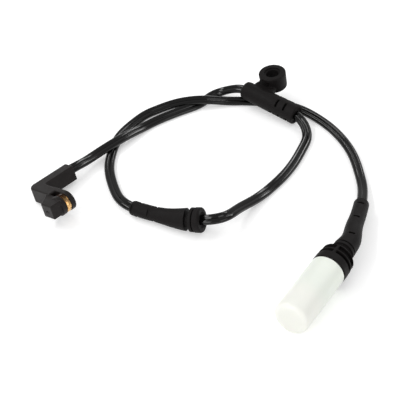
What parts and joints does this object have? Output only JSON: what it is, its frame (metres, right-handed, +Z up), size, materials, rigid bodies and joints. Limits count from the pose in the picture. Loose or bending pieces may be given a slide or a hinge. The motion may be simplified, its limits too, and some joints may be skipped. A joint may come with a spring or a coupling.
{
  "type": "brake pad wear sensor",
  "caption": "Wired brake pad wear sensor: L-shaped sensing head with spring clip, flat twin cable, eyelet tee grommet, sleeve grommet and round plug under a dust cap.",
  "frame": {"origin": "middle of the footprint of the rigid pieces, on the surface that the sensor lies on", "axes": "+Z up; +X to the right and +Y away from the viewer as the sensor lies, head at the left, tee grommet at the back, capped plug at the front right"},
  "size_m": [0.1722, 0.1939, 0.0197],
  "materials": {
    "cable_jacket": "smooth glossy black extruded jacket",
    "head_nylon": "matte black moulded glass-filled nylon",
    "grommet_rubber": "matte black moulded rubber",
    "clip_bronze": "bright bent spring bronze strip",
    "wire_insulation": "satin dark wire insulation",
    "insert_nylon": "satin dark grey moulded nylon",
    "contact_tin": "tin-plated contact metal",
    "seal_silicone": "soft red-brown silicone",
    "cap_polyethylene": "milky white satin polyethylene"
  },
  "bodies": {
    "root": {"twin_cable": "cable_jacket", "head_housing": "head_nylon", "spring_clip": "clip_bronze", "sensing_loop": "wire_insulation", "tee_grommet": "grommet_rubber", "sleeve_grommet": "grommet_rubber", "connector_boot": "grommet_rubber", "plug_insert": "insert_nylon", "contact_1": "contact_tin", "contact_2": "contact_tin", "core_wire_1": "wire_insulation", "core_wire_2": "wire_insulation", "wire_seal": "seal_silicone", "seal_ring": "seal_silicone", "dust_cap": "cap_polyethylene"}
  },
  "joints": []
}
